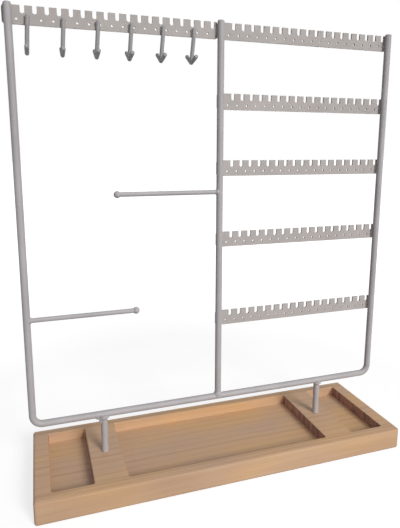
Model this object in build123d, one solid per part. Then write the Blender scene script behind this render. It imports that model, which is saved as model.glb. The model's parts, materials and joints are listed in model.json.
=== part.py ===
from build123d import *
import os
from math import atan2, cos, radians, sin, tan

# A table-top jewellery stand. A milled wooden tray carries a welded frame of round steel rod.
# The frame holds six slotted and perforated steel strips for earrings, six double hooks for
# necklaces and two bracelet arms. Millimetres, +Z up. X runs along the tray, -Y is the front.
# The origin is the middle of the tray's underside.

# ---------------------------------------------------------------- driving dimensions
ROD_D = 6.0  # frame rod
FRAME_SPAN = 340.0  # between the axes of the two outer uprights
FRAME_TOP = 400.0  # top of the three uprights
UPRIGHT_PROUD = 1.0  # how far the uprights stand above the top strips
BAR_Z = 57.5  # axis of the frame's bottom bar
BEND_RADIUS = 8.5  # bend of the rod's centre line at the two lower corners
ROD_END_ROUND = 1.2  # rounding of cut rod ends
SEAT_GAP = 0.05  # clearance between a welded piece and the rod that it sits on
WELD_FLARE = 1.0  # how far a weld bead stands out round the rod that it joins
WELD_HEIGHT = 2.2  # how far a weld bead climbs along that rod
POST_WELD_FLARE = 1.6
POST_WELD_HEIGHT = 3.4
POST_FOOT_EDGE = 0.3  # eased edge of a post where it stands on the tray

BASE_LENGTH = 344.0
BASE_DEPTH = 106.0
BASE_HEIGHT = 21.0
BASE_EDGE_ROUND = 2.4  # rounding of the tray's outer edges
END_RIM = 14.0  # wood left at each end of the tray
SIDE_RIM = 9.5  # wood left along the front and the back
END_POCKET = 34.4  # length of the two small pockets
DIVIDER = 28.8  # width of the two lands that the posts stand on
POCKET_DEPTH = 10.0
POCKET_CORNER = 2.0  # radius that the cutter leaves in the pockets' corners
POCKET_ARRIS = 0.5  # eased edge round each pocket

SCREW_D = 4.0
SCREW_HEAD_D = 8.0
SCREW_HEAD_HEIGHT = 2.6
SCREW_HEAD_ROUND = 1.3
SCREW_TIP_CHAMFER = 0.5
SCREW_ENGAGEMENT = 11.0  # how far a screw reaches into its post
THREAD_RUNOUT = 1.0  # depth of the post's hole past the screw's tip
RECESS_LENGTH = 4.0  # each arm of the cross recess
RECESS_WIDTH = 1.1
RECESS_DEPTH = 1.3
HEAD_CLEARANCE = 0.8  # play round the screw head in its counterbore
HEAD_SUNK = 1.9  # how deep the screw head lies under the tray's underside
SCREW_CLEARANCE = 0.25  # play round the shank in the wood
THREAD_CLEARANCE = 0.05  # play round the shank in the post

RAIL_EXCESS = 5.0  # how much longer than the span the two top strips are, end to end
RAIL_OVERHANG = 4.4  # from the left upright's axis out to the end of the top left strip
RAIL_HEIGHT = 14.0
RAIL_THICKNESS = 1.5
RAIL_CORNER = 2.4  # rounded corners of a strip
RAIL_PITCH = 9.0  # from slot to slot, and from hole to hole
FIRST_HOLE = 10.4  # from the strip's left end to its first hole
SLOT_WIDTH = 3.2
SLOT_DEPTH = 5.8
HOLE_D = 1.8
HOLE_HEIGHT = 4.2  # centre of the holes above the strip's lower edge
RAIL_DROPS = {"upper": 58.5, "middle": 116.5, "lower": 181.5, "bottom": 257.0}  # below the top

HOOK_COUNT = 6
FIRST_HOOK = 18.0  # from the strip's left end to the first hook
LAST_HOOK = 22.0  # from the last hook to the strip's right end
HOOK_D = 3.4
HOOK_END_ROUND = 1.0  # rounding of the cut wire ends
HOOK_OVERLAP = 7.0  # length of stem that lies against the strip
HOOK_DROP = 22.0  # from the strip's lower edge down to the hook's lowest point
HOOK_LEAN = 9.0  # degrees that the hook kicks back below the strip
HOOK_SIDE_LEAN = 3.5  # degrees that the hook leans to the left
HOOK_BEND = 6.0  # bend of the stem just under the strip
PRONG_REACH = 14.0  # from the stem out to the axis of each prong's tip
PRONG_RISE = 5.2  # from the bottom of the V up to that tip
PRONG_BEND = 2.6

ARM_D = 4.0
ARM_BALL_D = 6.0
ARM_LENGTH = 92.0  # from the upright's surface to the end of the ball
UPPER_ARM_Z = 254.5
LOWER_ARM_Z = 151.5

# ---------------------------------------------------------------- places that follow
ROD_R = ROD_D / 2
SPAN_HALF = FRAME_SPAN / 2
BASE_HALF = BASE_LENGTH / 2
POCKET_WIDTH = BASE_DEPTH - 2 * SIDE_RIM
DIVIDER_OUTER = BASE_HALF - END_RIM - END_POCKET
DIVIDER_INNER = DIVIDER_OUTER - DIVIDER
POST_X = (DIVIDER_OUTER + DIVIDER_INNER) / 2
COUNTERBORE_D = SCREW_HEAD_D + 2 * HEAD_CLEARANCE
COUNTERBORE_DEPTH = SCREW_HEAD_HEIGHT + HEAD_SUNK
RAIL_LENGTH = (FRAME_SPAN + RAIL_EXCESS) / 2
TOP_RAIL_Z = FRAME_TOP - UPRIGHT_PROUD - RAIL_HEIGHT  # lower edge of the two top strips
RAIL_FRONT_Y = ROD_R + SEAT_GAP
LEFT_RAIL_X = -SPAN_HALF - RAIL_OVERHANG  # left end of the strip over the necklace bay
RIGHT_RAIL_X = LEFT_RAIL_X + RAIL_LENGTH  # left end of the strips in the earring bay
STEM_Y = RAIL_FRONT_Y - HOOK_D / 2 - SEAT_GAP
HOOK_SPACING = (RAIL_LENGTH - FIRST_HOOK - LAST_HOOK) / (HOOK_COUNT - 1)


# ---------------------------------------------------------------- shared shapes
def rod_along(path, diameter):
    """A round rod swept along a path that starts straight."""
    return sweep(Plane(origin=path @ 0, z_dir=path % 0) * Circle(diameter / 2), path)


def rod_from(foot, direction, profile):
    """A rod turned from a profile of (radius, distance along the rod), standing on foot."""
    turned = revolve(Plane.XZ * make_face(profile), Axis.Z)
    return Plane(origin=foot, z_dir=direction) * turned


def flared_profile(radius, length, end_round, flare=WELD_FLARE, height=WELD_HEIGHT):
    """Half section of a rod that ends on a frame rod's axis in a weld bead.

    The bead starts at the frame rod's surface. The rod's far end is rounded."""
    bead = radius + flare
    climb = ROD_R + height
    halfway = radians(45)  # the middle of the bead's hollow face
    outline = Polyline((0, 0), (bead, 0), (bead, ROD_R))
    outline += ThreePointArc(
        (bead, ROD_R),
        (bead - flare * cos(halfway), climb - height * sin(halfway)),
        (radius, climb),
    )
    outline += Line((radius, climb), (radius, length - end_round))
    outline += RadiusArc((radius, length - end_round), (radius - end_round, length), -end_round)
    outline += Polyline((radius - end_round, length), (0, length), (0, 0))
    return outline


def rod_clearance(centre, direction):
    """The room that a frame rod takes up in a piece that is coped to fit it."""
    return Plane(origin=centre, z_dir=direction) * Cylinder(ROD_R + SEAT_GAP, FRAME_SPAN)


# ---------------------------------------------------------------- wooden tray
def pocket(centre_x, length):
    """One milled pocket with eased upper edges."""
    top = Plane.XY.offset(BASE_HEIGHT) * Pos(centre_x, 0)
    outline = top * RectangleRounded(length, POCKET_WIDTH, POCKET_CORNER)
    body = extrude(outline, -POCKET_DEPTH)
    grown = 2 * POCKET_ARRIS
    rim = top * RectangleRounded(length + grown, POCKET_WIDTH + grown, POCKET_CORNER + POCKET_ARRIS)
    throat = Pos(0, 0, -POCKET_ARRIS) * outline
    return body + loft([throat.face(), rim.face()])


def base_tray():
    """A solid board with three pockets on top and two counterbored screw holes beneath."""
    board = Pos(0, 0, BASE_HEIGHT / 2) * Box(BASE_LENGTH, BASE_DEPTH, BASE_HEIGHT)
    board = fillet(board.edges(), BASE_EDGE_ROUND)
    end_x = DIVIDER_OUTER + END_POCKET / 2
    board -= [pocket(-end_x, END_POCKET), pocket(0, 2 * DIVIDER_INNER), pocket(end_x, END_POCKET)]
    for x in (-POST_X, POST_X):
        board -= Pos(x, 0, COUNTERBORE_DEPTH / 2) * Cylinder(COUNTERBORE_D / 2, COUNTERBORE_DEPTH)
        board -= Pos(x, 0, BASE_HEIGHT / 2) * Cylinder(SCREW_D / 2 + SCREW_CLEARANCE, BASE_HEIGHT)
    return board


# ---------------------------------------------------------------- rod frame
def outer_frame():
    """One rod bent into a U: both outer uprights and the bottom bar."""
    path = FilletPolyline(
        (-SPAN_HALF, 0, FRAME_TOP),
        (-SPAN_HALF, 0, BAR_Z),
        (SPAN_HALF, 0, BAR_Z),
        (SPAN_HALF, 0, FRAME_TOP),
        radius=BEND_RADIUS,
    )
    frame = rod_along(path, ROD_D)
    return fillet(frame.edges().group_by(Axis.Z)[-1], ROD_END_ROUND)


def centre_upright():
    """The middle rod, coped over the bottom bar and welded to it."""
    foot = (0, 0, BAR_Z)
    profile = flared_profile(ROD_R, FRAME_TOP - BAR_Z, ROD_END_ROUND)
    return rod_from(foot, (0, 0, 1), profile) - rod_clearance(foot, (1, 0, 0))


def post(x):
    """A short rod from the bar down to the tray, with a threaded hole for its screw."""
    top = (x, 0, BAR_Z)
    length = BAR_Z - BASE_HEIGHT
    profile = flared_profile(ROD_R, length, POST_FOOT_EDGE, POST_WELD_FLARE, POST_WELD_HEIGHT)
    rod = rod_from(top, (0, 0, -1), profile) - rod_clearance(top, (1, 0, 0))
    depth = SCREW_ENGAGEMENT + THREAD_RUNOUT
    return rod - Pos(x, 0, BASE_HEIGHT) * Cylinder(SCREW_D / 2 + THREAD_CLEARANCE, 2 * depth)


def post_screws():
    """The two screws that pull the posts down onto the tray from below."""
    underside = COUNTERBORE_DEPTH - SCREW_HEAD_HEIGHT
    length = BASE_HEIGHT - COUNTERBORE_DEPTH + SCREW_ENGAGEMENT
    head = Pos(0, 0, underside + SCREW_HEAD_HEIGHT / 2) * Cylinder(SCREW_HEAD_D / 2, SCREW_HEAD_HEIGHT)
    head = fillet(head.edges().group_by(Axis.Z)[0], SCREW_HEAD_ROUND)
    shank = Pos(0, 0, COUNTERBORE_DEPTH + length / 2) * Cylinder(SCREW_D / 2, length)
    screw = head + chamfer(shank.edges().group_by(Axis.Z)[-1], SCREW_TIP_CHAMFER)
    arm = Pos(0, 0, underside) * Box(RECESS_LENGTH, RECESS_WIDTH, 2 * RECESS_DEPTH)
    screw -= [arm, Rot(0, 0, 90) * arm]
    return Compound(children=[Pos(x, 0, 0) * screw.solid() for x in (-POST_X, POST_X)])


def bracelet_arm(upright_x, z, direction):
    """A thin arm welded to the side of an upright, with a ball at its free end."""
    ball_r = ARM_BALL_D / 2
    reach = ROD_R + ARM_LENGTH - ball_r
    foot = (upright_x, 0, z)
    arm = rod_from(foot, (direction, 0, 0), flared_profile(ARM_D / 2, reach, ROD_END_ROUND))
    arm += Pos(upright_x + direction * reach, 0, z) * Sphere(ball_r)
    return arm - rod_clearance(foot, (0, 0, 1))


# ---------------------------------------------------------------- slotted strips
def earring_rail():
    """A flat strip with open slots along its top edge and a hole under each tooth.

    Its lower left front corner is the origin."""
    middle = Pos(RAIL_LENGTH / 2, RAIL_HEIGHT / 2)
    strip = middle * RectangleRounded(RAIL_LENGTH, RAIL_HEIGHT, RAIL_CORNER)
    slot_r = SLOT_WIDTH / 2
    throat = SLOT_DEPTH - slot_r
    slot = Pos(0, RAIL_HEIGHT - throat / 2) * Rectangle(SLOT_WIDTH, throat)
    slot += Pos(0, RAIL_HEIGHT - throat) * Circle(slot_r)
    first_slot = FIRST_HOLE + RAIL_PITCH / 2
    last_slot = RAIL_LENGTH - RAIL_CORNER - slot_r
    for index in range(1 + int((last_slot - first_slot) / RAIL_PITCH)):
        strip -= Pos(FIRST_HOLE + index * RAIL_PITCH, HOLE_HEIGHT) * Circle(HOLE_D / 2)
        strip -= Pos(first_slot + index * RAIL_PITCH) * slot
    return extrude(Plane.XZ * strip, -RAIL_THICKNESS)


# ---------------------------------------------------------------- necklace hooks
def along_hook(x, drop, kick=0.0):
    """A point on the stem's line, at a height below the strip's lower edge."""
    return (x - drop * tan(radians(HOOK_SIDE_LEAN)), STEM_Y + kick, TOP_RAIL_Z - drop)


def hook_frame(x):
    """The place of a hook's lowest point, tipped with the hook's lean."""
    run = HOOK_DROP - HOOK_D / 2
    foot = along_hook(x, run, run * tan(radians(HOOK_LEAN)))
    return Location(foot, (HOOK_LEAN, 0, 0))


def prong_wire(x, diameter):
    """The V at the foot of a hook: one prong to the front and one to the back.

    The bend stands clear of the V's sharp corner, so the corner is sunk by as much."""
    half_angle = atan2(PRONG_REACH, PRONG_RISE)
    sunk = PRONG_BEND * (1 / sin(half_angle) - 1)
    path = FilletPolyline(
        (0, -PRONG_REACH, PRONG_RISE), (0, 0, -sunk), (0, PRONG_REACH, PRONG_RISE), radius=PRONG_BEND
    )
    return hook_frame(x) * rod_along(path, diameter)


def hook_prongs(x):
    wire = prong_wire(x, HOOK_D)
    ends = wire.faces().filter_by(GeomType.PLANE).edges()
    return fillet(ends, HOOK_END_ROUND)


def hook_stem(x):
    """The stem, welded to the front of the strip and coped onto the V."""
    path = FilletPolyline(
        along_hook(x, -HOOK_OVERLAP), along_hook(x, 0), hook_frame(x).position, radius=HOOK_BEND
    )
    stem = rod_along(path, HOOK_D)
    stem = fillet(stem.edges().group_by(Axis.Z)[-1], HOOK_END_ROUND)
    return stem - prong_wire(x, HOOK_D + 2 * SEAT_GAP)


# ---------------------------------------------------------------- all pieces
def place_rail(x, z):
    return Pos(x, RAIL_FRONT_Y, z) * earring_rail()


def pieces():
    made = {
        "base_tray": base_tray(),
        "post_screws": post_screws(),
        "outer_frame": outer_frame(),
        "centre_upright": centre_upright(),
        "post_left": post(-POST_X),
        "post_right": post(POST_X),
        "bracelet_arm_upper": bracelet_arm(0, UPPER_ARM_Z, -1),
        "bracelet_arm_lower": bracelet_arm(-SPAN_HALF, LOWER_ARM_Z, 1),
        "earring_rail_top_left": place_rail(LEFT_RAIL_X, TOP_RAIL_Z),
        "earring_rail_top_right": place_rail(RIGHT_RAIL_X, TOP_RAIL_Z),
    }
    for level, drop in RAIL_DROPS.items():
        made[f"earring_rail_{level}"] = place_rail(RIGHT_RAIL_X, TOP_RAIL_Z - drop)
    for index in range(HOOK_COUNT):
        x = LEFT_RAIL_X + FIRST_HOOK + index * HOOK_SPACING
        made[f"hook_stem_{index + 1}"] = hook_stem(x)
        made[f"hook_prongs_{index + 1}"] = hook_prongs(x)
    return made


def write_node(name, shape):
    """Write one node: a single solid as it is, several solids as a compound."""
    solids = shape.solids()
    body = solids[0] if len(solids) == 1 else Compound(children=list(solids))
    export_step(body, f"parts/{name}.step")


os.makedirs("parts", exist_ok=True)
for node_name, node_shape in pieces().items():
    write_node(node_name, node_shape)
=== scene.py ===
import json
import math
import random

import bmesh
import bpy
from mathutils import Matrix, Vector, noise


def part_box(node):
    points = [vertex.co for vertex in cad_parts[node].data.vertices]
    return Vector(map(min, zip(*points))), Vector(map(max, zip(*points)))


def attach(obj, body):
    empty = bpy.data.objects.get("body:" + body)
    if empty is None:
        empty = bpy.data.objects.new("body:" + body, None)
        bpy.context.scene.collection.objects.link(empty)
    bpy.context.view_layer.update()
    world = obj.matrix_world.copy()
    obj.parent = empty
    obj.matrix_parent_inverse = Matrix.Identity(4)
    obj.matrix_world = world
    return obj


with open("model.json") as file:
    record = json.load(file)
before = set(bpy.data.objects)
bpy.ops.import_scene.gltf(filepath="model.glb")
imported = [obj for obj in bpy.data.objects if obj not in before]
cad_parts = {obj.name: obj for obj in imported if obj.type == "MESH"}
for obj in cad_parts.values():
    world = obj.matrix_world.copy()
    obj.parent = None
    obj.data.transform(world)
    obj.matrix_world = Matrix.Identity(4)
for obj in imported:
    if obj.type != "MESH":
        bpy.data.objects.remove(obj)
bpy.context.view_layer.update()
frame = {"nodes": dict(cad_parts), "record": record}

# A jewellery stand: a powder-coated rod frame on a milled pine tray. Metres, +Z up, -Y is the front.
MM = 0.001

# ---------------------------------------------------------------- camera, fitted to the photograph
CAMERA_PLACE = Vector((-156.46, -417.43, 291.63)) * MM
CAMERA_YAW = 18.145  # degrees that the camera looks towards +X, away from straight at the back
CAMERA_PITCH = -10.184  # degrees, below the horizon
CAMERA_ROLL = 0.091
IMAGE_WIDTH, IMAGE_HEIGHT = 400, 528
FOCAL_PIXELS = 495.03
VIEW_CENTRE = (198.73, 238.87)  # the pixel that the camera points at
SENSOR_HEIGHT = 24.0  # millimetres

# ---------------------------------------------------------------- light
KEY_PLACE = Vector((0.81, -2.54, 1.48))
KEY_AIM = Vector((0.0, 0.0, -0.05))
KEY_SIZE = 1.20  # across the round softbox
KEY_POWER = 5.7  # watts
KEY_SPREAD = 46.0  # degrees of the softbox's cone, so that the light eases off towards the top
KEY_COLOUR = (1.0, 0.985, 0.96)
AMBIENT_LEFT = (0.225, 0.232, 0.280)  # the room's light from -X
AMBIENT_RIGHT = (0.320, 0.312, 0.305)  # and from +X
BACKGROUND_WHITE = (1.0, 1.0, 1.0)
FLOOR_HALF = 12.0
FLOOR_SEEN = 0.42  # share of the floor's seen brightness that answers to light and shadow
FLOOR_GLOW = 0.735  # the floor's own brightness near the object
FLOOR_GLOW_FAR = 1.05  # and further out, where it meets the white background
FLOOR_NEAR = 0.30  # metres from the middle where the glow starts to grow
FLOOR_FAR = 0.85
FLOOR_BOUNCE = 0.40  # what the floor reflects onto the object


def add_camera():
    """The camera that sees what the photograph shows."""
    data = bpy.data.cameras.new("camera")
    data.sensor_fit = "VERTICAL"
    data.sensor_height = SENSOR_HEIGHT
    data.lens = FOCAL_PIXELS / IMAGE_HEIGHT * SENSOR_HEIGHT
    data.shift_x = (IMAGE_WIDTH / 2 - VIEW_CENTRE[0]) / IMAGE_HEIGHT
    data.shift_y = (VIEW_CENTRE[1] - IMAGE_HEIGHT / 2) / IMAGE_HEIGHT
    data.clip_start = 0.01
    data.clip_end = 100.0
    camera = bpy.data.objects.new("camera", data)
    turn = Matrix.Rotation(math.radians(-CAMERA_YAW), 4, "Z")
    tilt = Matrix.Rotation(math.radians(90 + CAMERA_PITCH), 4, "X")
    roll = Matrix.Rotation(math.radians(CAMERA_ROLL), 4, "Z")
    camera.matrix_world = Matrix.Translation(CAMERA_PLACE) @ turn @ tilt @ roll
    bpy.context.scene.collection.objects.link(camera)
    bpy.context.scene.camera = camera


def add_key_light():
    """One round softbox, high at the front right."""
    data = bpy.data.lights.new("key", "AREA")
    data.shape = "DISK"
    data.size = KEY_SIZE
    data.energy = KEY_POWER
    data.spread = math.radians(KEY_SPREAD)
    data.color = KEY_COLOUR
    key = bpy.data.objects.new("key", data)
    key.location = KEY_PLACE
    key.rotation_euler = (KEY_AIM - KEY_PLACE).to_track_quat("-Z", "Y").to_euler()
    bpy.context.scene.collection.objects.link(key)


# ---------------------------------------------------------------- node helpers
class Nodes:
    """Adds shader nodes to one tree and links them by socket name."""

    def __init__(self, tree):
        self.tree = tree

    def add(self, kind, settings=None, **inputs):
        node = self.tree.nodes.new(kind)
        for name, value in (settings or {}).items():
            setattr(node, name, value)
        for name, value in inputs.items():
            self.put(node.inputs[name.replace("_", " ")], value)
        return node

    def put(self, socket, value):
        if isinstance(value, bpy.types.NodeSocket):
            self.tree.links.new(value, socket)
        else:
            socket.default_value = value

    def separate(self, vector):
        return self.add("ShaderNodeSeparateXYZ", Vector=vector).outputs

    def math(self, operation, first, second=0.0, third=0.0):
        node = self.tree.nodes.new("ShaderNodeMath")
        node.operation = operation
        for socket, value in zip(node.inputs, (first, second, third)):
            self.put(socket, value)
        return node.outputs[0]

    def noise(self, vector, scale, detail=2.0, roughness=0.5):
        node = self.add(
            "ShaderNodeTexNoise", Vector=vector, Scale=scale, Detail=detail, Roughness=roughness
        )
        return node.outputs["Fac"]

    def stretched(self, vector, x, y, z):
        """The vector with each axis scaled by its own factor."""
        node = self.tree.nodes.new("ShaderNodeVectorMath")
        node.operation = "MULTIPLY"
        self.put(node.inputs[0], vector)
        node.inputs[1].default_value = (x, y, z)
        return node.outputs[0]

    def length(self, vector):
        """The distance from the origin."""
        node = self.tree.nodes.new("ShaderNodeVectorMath")
        node.operation = "LENGTH"
        self.put(node.inputs[0], vector)
        return node.outputs["Value"]

    def tinted(self, value, powers):
        """A colour whose channels are the value raised to their own powers."""
        red, green, blue = (self.math("POWER", value, power) for power in powers)
        return self.add("ShaderNodeCombineColor", Red=red, Green=green, Blue=blue).outputs[0]

    def ramp(self, fac, *stops):
        """A colour ramp; each stop is (position, colour)."""
        node = self.add("ShaderNodeValToRGB", Fac=fac)
        elements = node.color_ramp.elements
        while len(elements) < len(stops):
            elements.new(0.5)
        for element, (position, colour) in zip(elements, stops):
            element.position = position
            element.color = (*colour, 1.0)
        return node.outputs["Color"]

    def map(self, value, low, high, new_low, new_high):
        """The value carried from one range to another, and held at its ends."""
        node = self.add(
            "ShaderNodeMapRange",
            Value=value, From_Min=low, From_Max=high, To_Min=new_low, To_Max=new_high,
        )
        return node.outputs["Result"]

    def mix(self, fac, first, second, blend="MIX"):
        node = self.tree.nodes.new("ShaderNodeMix")
        node.data_type = "RGBA"
        node.blend_type = blend
        for socket, value in ((node.inputs[0], fac), (node.inputs[6], first), (node.inputs[7], second)):
            if isinstance(value, tuple):
                value = (*value, 1.0)
            self.put(socket, value)
        return node.outputs[2]

    def bump(self, height, strength, distance):
        node = self.add("ShaderNodeBump", Height=height, Strength=strength, Distance=distance)
        return node.outputs["Normal"]


def new_material(name):
    """A material with its helper, its shader and the object's coordinates in metres."""
    material = bpy.data.materials.new(name)
    material.use_nodes = True
    nodes = Nodes(material.node_tree)
    shader = material.node_tree.nodes["Principled BSDF"]
    place = nodes.add("ShaderNodeTexCoord").outputs["Object"]
    return material, nodes, shader, place


def seen_directly(nodes):
    """1 for camera, glossy and transmission rays, 0 for the rest."""
    path = nodes.add("ShaderNodeLightPath").outputs
    seen = nodes.math("MAXIMUM", path["Is Camera Ray"], path["Is Glossy Ray"])
    return nodes.math("MAXIMUM", seen, path["Is Transmission Ray"])


# ---------------------------------------------------------------- floor and background
def set_world():
    """White to the camera and in reflections; a soft room light to everything else."""
    world = bpy.data.worlds.new("world")
    world.use_nodes = True
    bpy.context.scene.world = world
    nodes = Nodes(world.node_tree)
    background = world.node_tree.nodes["Background"]
    direction = nodes.add("ShaderNodeTexCoord").outputs["Generated"]
    sideways = nodes.separate(direction)["X"]
    ambient = nodes.mix(nodes.map(sideways, -1.0, 1.0, 0.0, 1.0), AMBIENT_LEFT, AMBIENT_RIGHT)
    colour = nodes.mix(seen_directly(nodes), ambient, BACKGROUND_WHITE)
    nodes.put(background.inputs["Color"], colour)


def add_floor():
    """A pale floor that keeps a light shadow near the object and is white further out."""
    corners = [(-FLOOR_HALF, -FLOOR_HALF, 0), (FLOOR_HALF, -FLOOR_HALF, 0),
               (FLOOR_HALF, FLOOR_HALF, 0), (-FLOOR_HALF, FLOOR_HALF, 0)]
    mesh = bpy.data.meshes.new("floor")
    mesh.from_pydata(corners, [], [(0, 1, 2, 3)])
    floor = bpy.data.objects.new("floor", mesh)
    bpy.context.scene.collection.objects.link(floor)
    material, nodes, shader, place = new_material("floor")
    seen = seen_directly(nodes)
    nodes.put(shader.inputs["Base Color"], nodes.mix(seen, (FLOOR_BOUNCE,) * 3, (FLOOR_SEEN,) * 3))
    glow = nodes.map(nodes.length(place), FLOOR_NEAR, FLOOR_FAR, FLOOR_GLOW, FLOOR_GLOW_FAR)
    shader.inputs["Roughness"].default_value = 1.0
    shader.inputs["Specular IOR Level"].default_value = 0.0
    shader.inputs["Emission Color"].default_value = (1.0, 1.0, 1.0, 1.0)
    nodes.put(shader.inputs["Emission Strength"], nodes.math("MULTIPLY", seen, glow))
    mesh.materials.append(material)


# ---------------------------------------------------------------- materials
# Texture scales are repeats in a metre. A noise stays near 0.5, mostly between these two values.
NOISE_LOW, NOISE_HIGH = 0.3, 0.7

TONE_SCALE = 38.0
PEEL_SCALE = 620.0
GRAIN_SCALE = 3400.0
GRAIN_SHARE = 0.25  # how high the grain stands beside the orange peel
PEEL_DEPTH = 0.12 * MM
PEEL_STRENGTH = 0.35
DEEP_TONE, PALE_TONE = 0.92, 1.06  # how far the paint's tone drifts


def powder_coat(name, colour, roughness, sheen):
    """Thick semi-gloss paint: soft orange peel, a fine grain and slightly uneven tone."""
    material, nodes, shader, place = new_material(name)
    tone = nodes.noise(place, TONE_SCALE, 3.0)
    deep = tuple(channel * DEEP_TONE for channel in colour)
    pale = tuple(channel * PALE_TONE for channel in colour)
    nodes.put(shader.inputs["Base Color"], nodes.ramp(tone, (NOISE_LOW, deep), (NOISE_HIGH, pale)))
    peel = nodes.noise(place, PEEL_SCALE)
    grain = nodes.noise(place, GRAIN_SCALE)
    surface = nodes.math("MULTIPLY_ADD", grain, GRAIN_SHARE, peel)
    rough = nodes.map(grain, NOISE_LOW, NOISE_HIGH, roughness - 0.05, roughness + 0.07)
    nodes.put(shader.inputs["Roughness"], rough)
    shader.inputs["Specular IOR Level"].default_value = sheen
    nodes.put(shader.inputs["Normal"], nodes.bump(surface, PEEL_STRENGTH, PEEL_DEPTH))
    return material


ZINC_SCALE = 900.0
ZINC_DULL = (0.46, 0.46, 0.45)
ZINC_BRIGHT = (0.62, 0.62, 0.63)


def zinc_plate():
    """The plating of the two screws under the tray."""
    material, nodes, shader, place = new_material("zinc_plate")
    tone = nodes.noise(place, ZINC_SCALE, 3.0)
    colour = nodes.ramp(tone, (NOISE_LOW, ZINC_DULL), (NOISE_HIGH, ZINC_BRIGHT))
    nodes.put(shader.inputs["Base Color"], colour)
    nodes.put(shader.inputs["Roughness"], nodes.map(tone, NOISE_LOW, NOISE_HIGH, 0.28, 0.42))
    shader.inputs["Metallic"].default_value = 1.0
    return material


PITH_Y = 210 * MM  # the tree's centre, far behind the board
PITH_Z = 4 * MM
RING_WIDTH = 9.0 * MM
RING_STRENGTH = (0.02, 0.16)  # how dark the faintest and the strongest growth line are
FINE_RING_WIDTH = 4.1 * MM
FINE_RING_STRENGTH = (0.0, 0.06)
LINE_CORE, LINE_EDGE = 0.03, 0.24  # half widths of a line, as shares of the ring's width
WANDER = 9 * MM  # how far the rings wander over short lengths
WANDER_SCALE = (6.0, 20.0, 20.0)
SWAY = 14 * MM  # and over the whole board
SWAY_SCALE = (2.3, 3.0, 3.0)
STREAK_RADIUS = 256.6 * MM  # one dark growth line, which runs along the tray's front rim
STREAK_CORE, STREAK_EDGE = 0.2 * MM, 1.1 * MM
STREAK_TONE = 0.86
FIBRE_SCALE = (14.0, 900.0, 900.0)
FIBRE_DEPTH = 0.12 * MM
FIBRE_STRENGTH = 0.2
PATCH_SCALE = (11.0, 30.0, 30.0)
WOOD_GREY = (0.590, 0.398, 0.262)
WOOD_PALE = (0.630, 0.415, 0.256)
WOOD_WARM = (0.675, 0.430, 0.225)
LINE_TINT = (1.0, 1.35, 1.60)  # the power to which each colour channel takes a line's shade
HATCH_SCALE = (40.0, 190.0, 45.0)
END_GRAIN_DARK = (0.275, 0.148, 0.120)
END_GRAIN = (0.470, 0.262, 0.185)
EDGE_SLOPE = 0.66  # upward part of the normal in the middle of the rounded front edge
EDGE_CORE, EDGE_END = 0.16, 0.36  # how far from that the edge is fully shaded, and not at all
PAINTED_EDGE_SHADE = 0.22  # painted shade: how much darker the rounded front edge is painted, against the light that it catches
EDGE_Y, EDGE_END_Y = -51.0 * MM, -49.5 * MM  # where it is fully shaded, and not at all
BLACK = (0.0, 0.0, 0.0)


def growth_lines(nodes, radius, width, strength):
    """1 between the growth lines and a little less on them; each line has its own strength."""
    turns = nodes.math("DIVIDE", radius, width)
    number = nodes.math("FLOOR", turns)
    chance = nodes.add("ShaderNodeTexWhiteNoise", {"noise_dimensions": "1D"}, W=number).outputs["Value"]
    offset = nodes.math("ABSOLUTE", nodes.math("SUBTRACT", nodes.math("FRACT", turns), 0.5))
    line = nodes.map(offset, LINE_CORE, LINE_EDGE, 1.0, 0.0)
    depth = nodes.map(chance, 0.0, 1.0, *strength)
    return nodes.math("SUBTRACT", 1.0, nodes.math("MULTIPLY", line, depth))


def side_grain(nodes, place, split, fibres):
    """The colour along the fibres: rings about a distant pith, patches and fine streaks."""
    wander = nodes.noise(nodes.stretched(place, *WANDER_SCALE), 1.0, 3.0)
    sway = nodes.noise(nodes.stretched(place, *SWAY_SCALE), 1.0, 1.0)
    across = nodes.math("POWER", nodes.math("SUBTRACT", split["Y"], PITH_Y), 2.0)
    above = nodes.math("POWER", nodes.math("SUBTRACT", split["Z"], PITH_Z), 2.0)
    distance = nodes.math("SQRT", nodes.math("ADD", across, above))
    radius = nodes.math("MULTIPLY_ADD", wander, WANDER, distance)
    radius = nodes.math("MULTIPLY_ADD", sway, SWAY, radius)
    shade = growth_lines(nodes, radius, RING_WIDTH, RING_STRENGTH)
    fine = growth_lines(nodes, radius, FINE_RING_WIDTH, FINE_RING_STRENGTH)
    shade = nodes.math("MULTIPLY", shade, fine)
    from_streak = nodes.math("ABSOLUTE", nodes.math("SUBTRACT", distance, STREAK_RADIUS))
    streak = nodes.map(from_streak, STREAK_CORE, STREAK_EDGE, STREAK_TONE, 1.0)
    shade = nodes.math("MULTIPLY", shade, streak)
    shade = nodes.math("MULTIPLY", shade, nodes.map(fibres, NOISE_LOW, NOISE_HIGH, 0.93, 1.05))
    patches = nodes.noise(nodes.stretched(place, *PATCH_SCALE), 1.0)
    tint = nodes.ramp(patches, (0.34, WOOD_GREY), (0.50, WOOD_PALE), (0.68, WOOD_WARM))
    return nodes.mix(1.0, tint, nodes.tinted(shade, LINE_TINT), "MULTIPLY")


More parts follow.
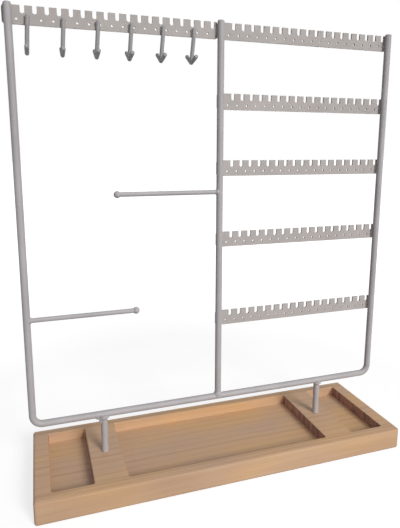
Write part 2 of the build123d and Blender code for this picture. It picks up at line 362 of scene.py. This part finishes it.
def pine():
    """A quarter-sawn pine board with its fibres along X, darker end grain and painted shade on the
    rounded front edge.
    """
    material, nodes, shader, place = new_material("pine")
    split = nodes.separate(place)
    normal = nodes.separate(nodes.add("ShaderNodeNewGeometry").outputs["Normal"])
    fibres = nodes.noise(nodes.stretched(place, *FIBRE_SCALE), 1.0, 3.0)
    hatch = nodes.noise(nodes.stretched(place, *HATCH_SCALE), 1.0, 3.0)
    end_grain = nodes.ramp(hatch, (0.42, END_GRAIN_DARK), (0.58, END_GRAIN))
    end = nodes.map(nodes.math("ABSOLUTE", normal["X"]), 0.6, 0.95, 0.0, 1.0)
    colour = nodes.mix(end, side_grain(nodes, place, split, fibres), end_grain)
    upward = nodes.math("ABSOLUTE", normal["Z"])
    slope = nodes.math("ABSOLUTE", nodes.math("SUBTRACT", upward, EDGE_SLOPE))
    front = nodes.map(split["Y"], EDGE_Y, EDGE_END_Y, 1.0, 0.0)
    # painted shade: the rounded front edge, which faces the key light, is darkened towards black
    painted_edge_shade = nodes.math("MULTIPLY", front, nodes.map(slope, EDGE_CORE, EDGE_END, PAINTED_EDGE_SHADE, 0.0))
    nodes.put(shader.inputs["Base Color"], nodes.mix(painted_edge_shade, colour, BLACK))
    nodes.put(shader.inputs["Roughness"], nodes.map(fibres, NOISE_LOW, NOISE_HIGH, 0.52, 0.68))
    nodes.put(shader.inputs["Normal"], nodes.bump(fibres, FIBRE_STRENGTH, FIBRE_DEPTH))
    return material


# ---------------------------------------------------------------- weld beads, in millimetres
WELD_SEED = 11
LUMP_SWELL = 0.22  # how uneven a lump is
LUMP_GRAIN = 0.55  # how fine its unevenness is
LUMP_CHOICES = 50.0  # each lump takes its unevenness from its own place in the noise
LUMP_STEP = 1.15  # from lump to lump along a bead, in radii
LUMP_SIZES = (0.82, 1.14)
ROD_RADIUS = 3.0
BEAD_SUNK_X = 0.35  # how far a strip's bead lies inside the rod's side
BEAD_BEFORE_STRIP = 0.55  # how far its axis lies in front of the strip
BEAD_FROM_FOOT = 1.6  # from the strip's lower edge to the bead's axis
BEAD_FROM_TOP = 3.0
RIGHT_BEAD_RADIUS = 0.95
LEFT_BEAD_RADIUS = 0.85
RIGHT_STRIPS = ("top_right", "upper", "middle", "lower", "bottom")
HOOK_COUNT = 6
FIRST_HOOK = 18.0  # from the strip's left end
HOOK_SPACING = 26.5
HOOK_RADIUS = 1.7
HOOK_BEAD_BEFORE_STRIP = 0.35
HOOK_BEAD_FOOT, HOOK_BEAD_TOP = 1.0, 5.6  # above the strip's lower edge
HOOK_BEAD_RADIUS = 0.55
# The heavy weld's lumps: distance out along the bar, distance down the post, and radius.
POST_LUMPS = ((0.4, 0.6, 2.1), (1.6, 0.5, 1.7), (3.0, 0.2, 1.3), (4.2, 0.0, 0.9),
              (0.3, 2.0, 1.7), (0.2, 3.4, 1.4), (0.1, 4.8, 1.0))
POST_LUMP_DEPTH = 1.25  # front to back, in radii


def box_of(node):
    """Lowest and highest corner of a CAD node, in millimetres."""
    low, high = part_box(node)
    return Vector(low) / MM, Vector(high) / MM


def lump(shape, centre, radii, chance):
    """One uneven drop of weld metal."""
    middle = Vector(centre) * MM
    place = Matrix.Translation(middle) @ Matrix.Diagonal((*(Vector(radii) * MM), 1.0))
    made = bmesh.ops.create_icosphere(shape, subdivisions=2, radius=1.0, matrix=place)
    offset = Vector([chance.uniform(0, LUMP_CHOICES) for _ in range(3)])
    for vert in made["verts"]:
        swell = 1.0 + LUMP_SWELL * noise.noise(vert.co / MM * LUMP_GRAIN + offset)
        vert.co = middle + (vert.co - middle) * swell


def bead(shape, start, end, radius, chance):
    """A row of overlapping lumps from start to end."""
    start = Vector(start)
    run = Vector(end) - start
    steps = max(2, round(run.length / (radius * LUMP_STEP)))
    for index in range(steps + 1):
        centre = start + run * (index / steps)
        size = radius * chance.uniform(*LUMP_SIZES)
        lump(shape, centre, (size, size, size * 1.1), chance)


def add_piece(name, shape, material):
    """Makes one piece of the shape and fixes it to the stand."""
    mesh = bpy.data.meshes.new(name)
    shape.to_mesh(mesh)
    shape.free()
    mesh.shade_smooth()
    mesh.materials.append(material)
    piece = bpy.data.objects.new(name, mesh)
    bpy.context.scene.collection.objects.link(piece)
    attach(piece, "root")


def add_strip_welds(material):
    """The beads that hold each strip to the two uprights in front of it."""
    chance = random.Random(WELD_SEED)
    shape = bmesh.new()
    side = ROD_RADIUS - BEAD_SUNK_X
    span_half = box_of("outer_frame")[1].x - ROD_RADIUS

    def beads(strip, places, radius):
        low, high = box_of(f"earring_rail_{strip}")
        y = low.y - BEAD_BEFORE_STRIP
        for x in places:
            bead(shape, (x, y, low.z + BEAD_FROM_FOOT), (x, y, high.z - BEAD_FROM_TOP), radius, chance)

    for strip in RIGHT_STRIPS:
        beads(strip, (side, span_half - side), RIGHT_BEAD_RADIUS)
    beads("top_left", (-span_half - side, -span_half + side, -side), LEFT_BEAD_RADIUS)
    add_piece("strip_welds", shape, material)


def add_hook_welds(material):
    """Two small beads beside each hook's stem, against the strip."""
    chance = random.Random(WELD_SEED + 1)
    shape = bmesh.new()
    strip = box_of("earring_rail_top_left")[0]
    y = strip.y - HOOK_BEAD_BEFORE_STRIP
    for index in range(HOOK_COUNT):
        for side in (-HOOK_RADIUS, HOOK_RADIUS):
            x = strip.x + FIRST_HOOK + index * HOOK_SPACING + side
            foot = (x, y, strip.z + HOOK_BEAD_FOOT)
            bead(shape, foot, (x, y, strip.z + HOOK_BEAD_TOP), HOOK_BEAD_RADIUS, chance)
    add_piece("hook_welds", shape, material)


def add_post_weld(material):
    """The heavy triangular weld between the bottom bar and the left post."""
    chance = random.Random(WELD_SEED + 2)
    shape = bmesh.new()
    low, high = box_of("post_left")
    post_side = (low.x + high.x) / 2 - ROD_RADIUS
    under_bar = box_of("outer_frame")[0].z
    for along, down, radius in POST_LUMPS:
        radii = (radius, radius * POST_LUMP_DEPTH, radius)
        lump(shape, (post_side - along, 0.0, under_bar - down), radii, chance)
    add_piece("post_weld", shape, material)


# ---------------------------------------------------------------- dressing the frame
FRAME_COLOUR = (0.470, 0.450, 0.457)
STRIP_COLOUR = (0.480, 0.445, 0.428)
HOOK_COLOUR = (0.385, 0.376, 0.380)


def dress(name, material):
    """Gives one CAD node its material."""
    mesh = frame["nodes"][name].data
    mesh.materials.clear()
    mesh.materials.append(material)


def dress_frame():
    """Gives every CAD node its finish and adds the welds in the same paint."""
    finishes = {
        "wood": pine(),
        "frame_paint": powder_coat("frame_coat", FRAME_COLOUR, 0.50, 0.30),
        "strip_paint": powder_coat("strip_coat", STRIP_COLOUR, 0.52, 0.22),
        "hook_paint": powder_coat("hook_coat", HOOK_COLOUR, 0.50, 0.30),
        "screw_steel": zinc_plate(),
    }
    for part in frame["record"]["subparts"]:
        dress(part["node"], finishes[part["material_slot"]])
    add_strip_welds(finishes["strip_paint"])
    add_hook_welds(finishes["strip_paint"])
    add_post_weld(finishes["frame_paint"])


add_camera()
add_key_light()
set_world()
add_floor()
dress_frame()

bpy.context.scene.view_settings.view_transform = "Standard"
